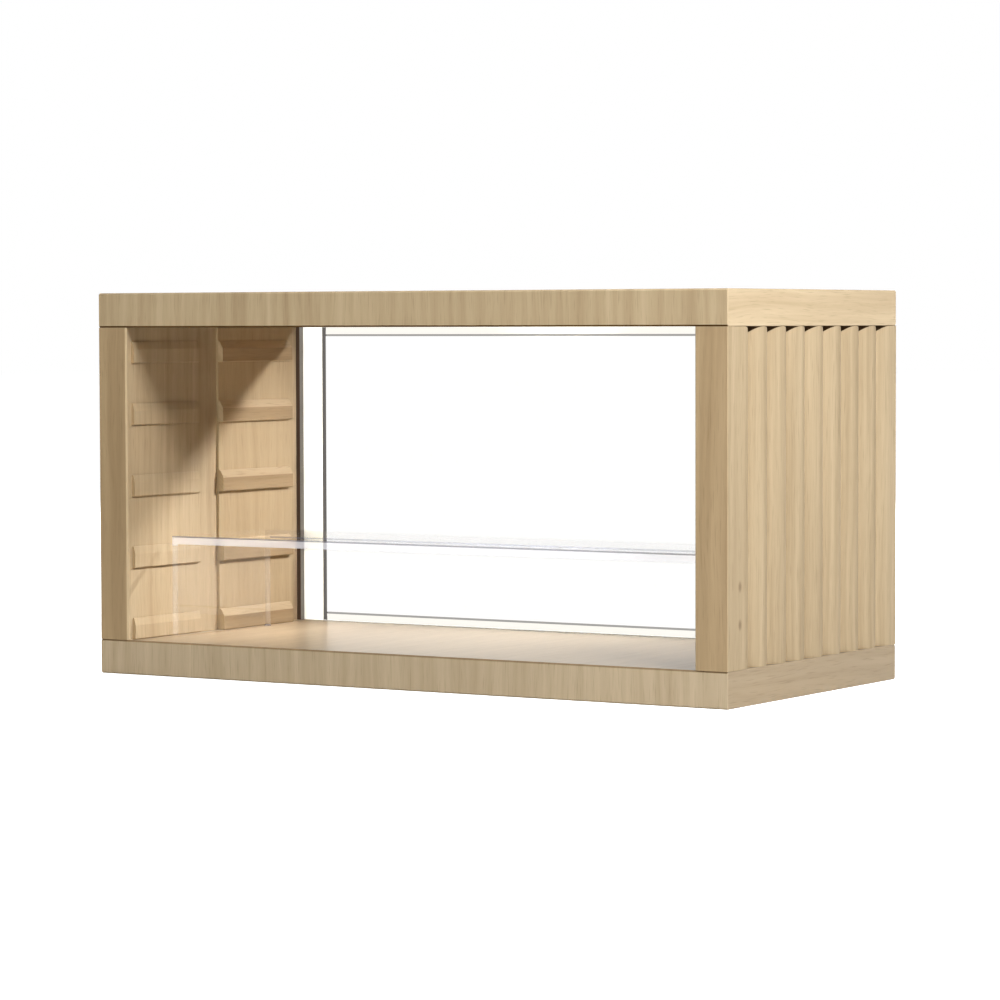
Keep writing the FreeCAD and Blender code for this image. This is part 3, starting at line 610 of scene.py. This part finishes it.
# Each board has its own veneer. On the slabs it runs from the rear over the front edge, and lengthwise on the ends.
SLAB_ENDS = (Y_AXIS, Z_AXIS)
case_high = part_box("top_panel")[1]
set_material("top_panel", oak_veneer(
    "roof_oak", ROOF_TONES, Z_AXIS - Y_AXIS, X_AXIS, ROOF_CUT, SLAB_ENDS, tints=ROOF_TINTS, gloss=0.04,
    satin=(0.6, 0.8)))
set_material("bottom_panel", oak_veneer(
    "floor_oak", FLOOR_TONES, Z_AXIS - Y_AXIS, X_AXIS, FLOOR_CUT, SLAB_ENDS, tints=FLOOR_TINTS, gloss=0.3,
    satin=(0.28, 0.45)))
for side, inward, knots, further in (("left", X_AXIS, (), 0), ("right", -X_AXIS, PIN_KNOTS, RIGHT_CUT)):
    # Each side's outer grooves get the roof's painted shadow at their upper ends
    side_oak = oak_veneer(
        side + "_side_oak", SIDE_TONES, Z_AXIS, X_AXIS + Y_AXIS, SIDE_CUT + further, knots=knots, tints=SIDE_TINTS,
        eaves=(case_high.x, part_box("top_panel")[0].z))
    set_material(side + "_side_panel", side_oak)
    set_material(side + "_front_cleats", side_oak)
    plate_oak = oak_veneer(side + "_plate_oak", PLATE_TONES, Z_AXIS, X_AXIS + Y_AXIS, PLATE_CUT + further)
    set_material(side + "_rear_plate", plate_oak)
    # The rear ledges' faces are painted a shade darker than their bevels
    ledge_oak = oak_veneer(
        side + "_ledge_oak", SIDE_TONES, Y_AXIS, X_AXIS + Z_AXIS, LEDGE_CUT + further,
        tints=((inward, CLOSELY, LEDGE_FACE_SHADE),))
    set_material(side + "_rear_cleats", ledge_oak)
set_material("rear_cover", oak_veneer("rear_cover_oak", SIDE_TONES, Z_AXIS, X_AXIS, COVER_CUT))


def area_light(name, place, target, width, depth, watts, code):
    """A rectangular lamp that shines from a place towards a target."""
    data = bpy.data.lights.new(name, "AREA")
    data.shape = "RECTANGLE"
    data.size = width
    data.size_y = depth
    data.energy = watts
    data.color = linear(code)[:3]
    lamp = bpy.data.objects.new(name, data)
    lamp.location = place
    lamp.rotation_euler = (Vector(target) - Vector(place)).to_track_quat("-Z", "Y").to_euler()
    lamp.visible_camera = False
    bpy.context.scene.collection.objects.link(lamp)
    return lamp


def shine_on(lamp, names):
    """Let a lamp inside the case light the named nodes alone. Its light stands for one that is too even to show as
    a spot in the lacquer."""
    receivers = bpy.data.collections.new(lamp.name)
    for name in names:
        receivers.objects.link(nodes[name])
    lamp.light_linking.receiver_collection = receivers
    lamp.visible_glossy = False


def studio_world():
    """White surroundings: dim as a lamp, so that the key light shapes the case, and plain white to look at."""
    world = bpy.data.worlds.new("studio")
    world.use_nodes = True
    bpy.context.scene.world = world
    tree = world.node_tree
    tree.nodes.clear()
    seen = add(tree, "LightPath")
    strength = add(tree, "MapRange", inputs={
        "Value": seen.outputs["Is Camera Ray"], "To Min": SKY_LAMP, "To Max": 1.0})
    sky = add(tree, "Background", inputs={"Strength": strength.outputs["Result"]})
    sky.inputs["Color"].default_value = linear("FFFFFF")
    add(tree, "OutputWorld", inputs={"Surface": sky.outputs["Background"]})


def studio_floor():
    """Pale paper floor that fades into the white surroundings. Its glow is for the eye and lights nothing."""
    bpy.ops.mesh.primitive_circle_add(vertices=96, radius=12, fill_type="NGON")
    floor = bpy.context.object
    floor.name = "studio_floor"
    material, tree, shader = new_material("studio_paper")
    place = add(tree, "TexCoord")
    tooth = add(tree, "TexNoise", inputs={"Vector": place.outputs["Object"], "Scale": 1 / (4 * MM)})
    colour = add(tree, "Mix", {"data_type": "RGBA"}, {
        "Factor": tooth.outputs["Fac"], 6: linear("F0F0EF"), 7: linear("F4F4F3")})
    away = add(tree, "VectorMath", {"operation": "LENGTH"}, {0: place.outputs["Object"]})
    fade = add(tree, "MapRange", {"interpolation_type": "SMOOTHSTEP"}, {
        "Value": away.outputs["Value"], "From Min": 0.2, "From Max": 1.0, "To Min": 0.8, "To Max": 1.0})
    seen = add(tree, "LightPath")
    glow = add(tree, "Math", {"operation": "MULTIPLY"}, {
        0: fade.outputs["Result"], 1: seen.outputs["Is Camera Ray"]})
    dress(tree, shader, colour.outputs[2])
    tree.links.new(glow.outputs["Value"], shader.inputs["Emission Strength"])
    shader.inputs["Emission Color"].default_value = linear("FFFFFF")
    shader.inputs["Roughness"].default_value = 0.8
    floor.data.materials.append(material)


def camera():
    """The camera that took the photograph, as fitted to the outer edges of the case."""
    data = bpy.data.cameras.new("camera")
    data.lens = CAMERA_LENS
    data.sensor_width = CAMERA_SENSOR
    eye = bpy.data.objects.new("camera", data)
    turn = Matrix.Rotation(math.radians(CAMERA_AZIMUTH), 4, "Z")
    tilt = Matrix.Rotation(math.radians(90 - CAMERA_DOWN), 4, "X")
    roll = Matrix.Rotation(math.radians(CAMERA_ROLL), 4, "Z")
    eye.matrix_world = Matrix.Translation(CAMERA_PLACE) @ turn @ tilt @ roll
    bpy.context.scene.collection.objects.link(eye)
    bpy.context.scene.camera = eye


studio_world()
studio_floor()
for name, lamp in STUDIO_LAMPS.items():
    area_light(name, *lamp)
# The panel and the board behind it have a glow of their own, so the strip's light leaves them out
strip_low, strip_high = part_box("led_chips")
strip_place = Vector((0, (strip_low.y + strip_high.y) / 2, strip_low.z - STRIP_GAP))
strip_down = area_light("strip_down", strip_place, strip_place - Z_AXIS - STRIP_LEAN * Y_AXIS, *STRIP_LAMP)
shine_on(strip_down, [name for name in nodes if name not in ("light_panel", "back_board")])
shine_on(area_light("floor_wash", *FLOOR_WASH), ["bottom_panel"])
for side, outward in (("left", -1), ("right", 1)):
    mirror = Vector((outward, 1, 1))
    wash = area_light(
        side + "_plate_wash", mirror * Vector(PLATE_WASH_PLACE), mirror * Vector(PLATE_WASH_TARGET), *PLATE_WASH_LAMP)
    shine_on(wash, [side + "_rear_plate", side + "_rear_cleats"])
camera()
bpy.context.scene.view_settings.view_transform = "Standard"
bpy.context.scene.view_settings.gamma = VIEW_GAMMA
# Two bounces from wall to wall keep the shade under the roof deep and warm
bpy.context.scene.cycles.diffuse_bounces = 2
